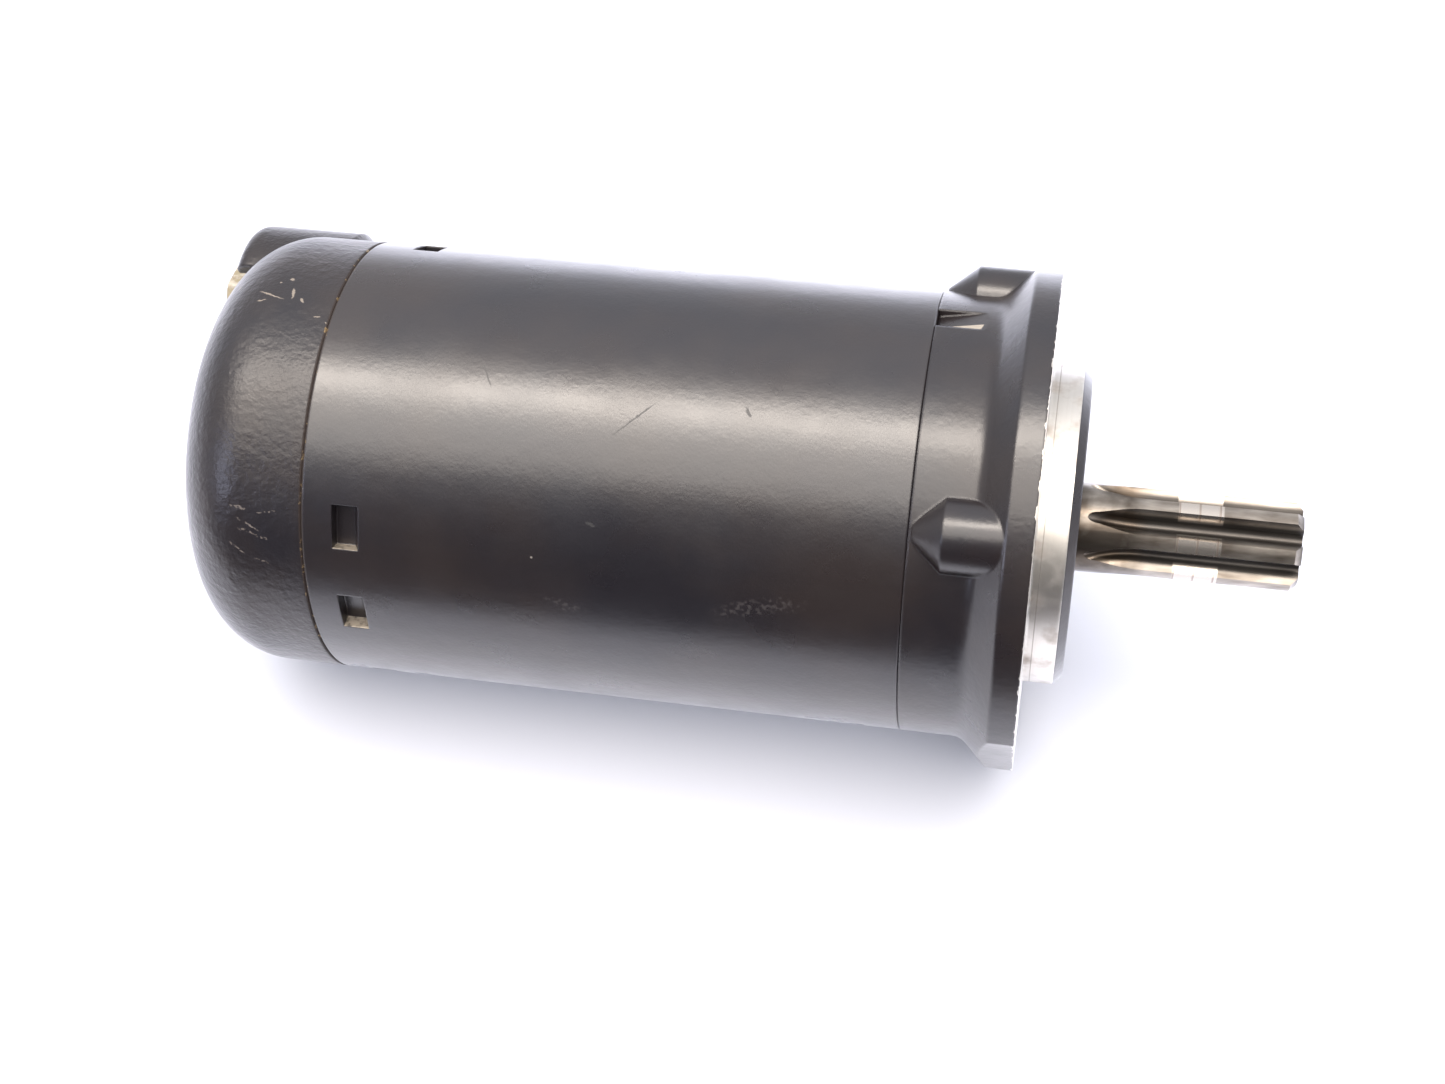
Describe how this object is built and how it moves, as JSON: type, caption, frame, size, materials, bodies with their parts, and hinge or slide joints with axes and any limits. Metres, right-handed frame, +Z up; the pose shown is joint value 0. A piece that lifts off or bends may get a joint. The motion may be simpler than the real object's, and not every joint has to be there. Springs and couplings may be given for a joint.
{
  "type": "starter motor",
  "caption": "Motorcycle starter motor: black tubular permanent-magnet motor with a round mounting flange, machined spigot and a toothed shaft",
  "frame": {"origin": "on the shaft's axis in the plane of the mounting face", "axes": "+X along the shaft towards the pinion, +Z up, between the two upper mounting bosses"},
  "size_m": [0.1664, 0.0734, 0.0734],
  "materials": {
    "cast_black": "black stoved paint on die-cast aluminium, spigot machined bright",
    "tube_black": "satin black paint on drawn steel tube",
    "hard_steel": "hardened and ground alloy steel, worn on the teeth",
    "bearing_steel": "ground and lapped bearing steel",
    "spring_steel": "drawn spring steel",
    "bolt_steel": "zinc plated steel",
    "terminal_zinc": "yellow passivated zinc on steel, corroded",
    "nitrile": "moulded nitrile rubber",
    "ferrite": "sintered and ground ferrite",
    "lamination": "stacked and varnished silicon steel sheet",
    "winding_copper": "enamelled copper wire under varnish",
    "bare_copper": "turned hard copper",
    "phenolic": "moulded phenolic",
    "insulating_board": "pressed insulating board",
    "brush_carbon": "pressed copper-graphite",
    "sintered_bronze": "oil-filled sintered bronze",
    "holder_brass": "folded brass strip",
    "plate_steel": "pressed and zinc plated steel sheet",
    "nylon_black": "moulded glass-filled nylon"
  },
  "bodies": {
    "housing": {"front_cover": "cast_black", "rear_cover": "cast_black", "yoke_tube": "tube_black", "front_seam_o_ring": "nitrile", "rear_seam_o_ring": "nitrile", "oil_seal_case": "plate_steel", "oil_seal_lip": "nitrile", "seal_garter_spring": "spring_steel", "bearing_outer_race": "bearing_steel", "bearing_shields": "plate_steel", "rear_bush": "sintered_bronze", "through_bolt_1": "bolt_steel", "through_bolt_2": "bolt_steel", "brush_plate": "plate_steel", "holder_insulator_1": "insulating_board", "holder_insulator_2": "insulating_board", "terminal_stud": "terminal_zinc", "terminal_insulator": "nylon_black", "terminal_collar": "nylon_black", "terminal_o_ring": "nitrile", "terminal_washer": "terminal_zinc", "terminal_nut": "terminal_zinc", "terminal_bus": "bare_copper", "magnet_1": "ferrite", "brush_holder_1": "holder_brass", "brush_spring_1": "spring_steel", "brush_lead_1": "bare_copper", "magnet_2": "ferrite", "brush_holder_2": "holder_brass", "brush_spring_2": "spring_steel", "brush_lead_2": "bare_copper", "magnet_3": "ferrite", "brush_holder_3": "holder_brass", "brush_spring_3": "spring_steel", "brush_lead_3": "bare_copper", "magnet_4": "ferrite", "brush_holder_4": "holder_brass", "brush_spring_4": "spring_steel", "brush_lead_4": "bare_copper"},
    "armature": {"armature_shaft": "hard_steel", "bearing_inner_race": "bearing_steel", "shaft_circlip": "spring_steel", "armature_core": "lamination", "core_end_insulators": "insulating_board", "armature_windings": "winding_copper", "commutator_bars": "bare_copper", "commutator_hub": "phenolic", "thrust_washers": "plate_steel"},
    "bearing_cage_and_balls": {"bearing_cage": "plate_steel", "bearing_balls": "bearing_steel"},
    "brush_1_body": {"brush_1": "brush_carbon"},
    "brush_2_body": {"brush_2": "brush_carbon"},
    "brush_3_body": {"brush_3": "brush_carbon"},
    "brush_4_body": {"brush_4": "brush_carbon"}
  },
  "joints": [
    {"name": "armature_spin", "type": "hinge", "parent": "housing", "child": "armature", "pos_m": [0, 0, 0], "axis": [1, 0, 0], "continuous": true},
    {"name": "cage_spin", "type": "hinge", "parent": "housing", "child": "bearing_cage_and_balls", "pos_m": [0, 0, 0], "axis": [1, 0, 0], "continuous": true},
    {"name": "brush_1_slide", "type": "slide", "parent": "housing", "child": "brush_1_body", "axis": [0, 1, 0], "range_m": [0, 0.003], "stiffness_N_per_m": 800, "springref_m": -0.004, "deforming": ["brush_spring_1", "brush_lead_1"]},
    {"name": "brush_2_slide", "type": "slide", "parent": "housing", "child": "brush_2_body", "axis": [0, 0, 1], "range_m": [0, 0.003], "stiffness_N_per_m": 800, "springref_m": -0.004, "deforming": ["brush_spring_2", "brush_lead_2"]},
    {"name": "brush_3_slide", "type": "slide", "parent": "housing", "child": "brush_3_body", "axis": [0, -1, 0], "range_m": [0, 0.003], "stiffness_N_per_m": 800, "springref_m": -0.004, "deforming": ["brush_spring_3", "brush_lead_3"]},
    {"name": "brush_4_slide", "type": "slide", "parent": "housing", "child": "brush_4_body", "axis": [0, 0, -1], "range_m": [0, 0.003], "stiffness_N_per_m": 800, "springref_m": -0.004, "deforming": ["brush_spring_4", "brush_lead_4"]}
  ],
  "couplings": [
    {"joint": "cage_spin", "follows": "armature_spin", "ratio": 0.384}
  ]
}
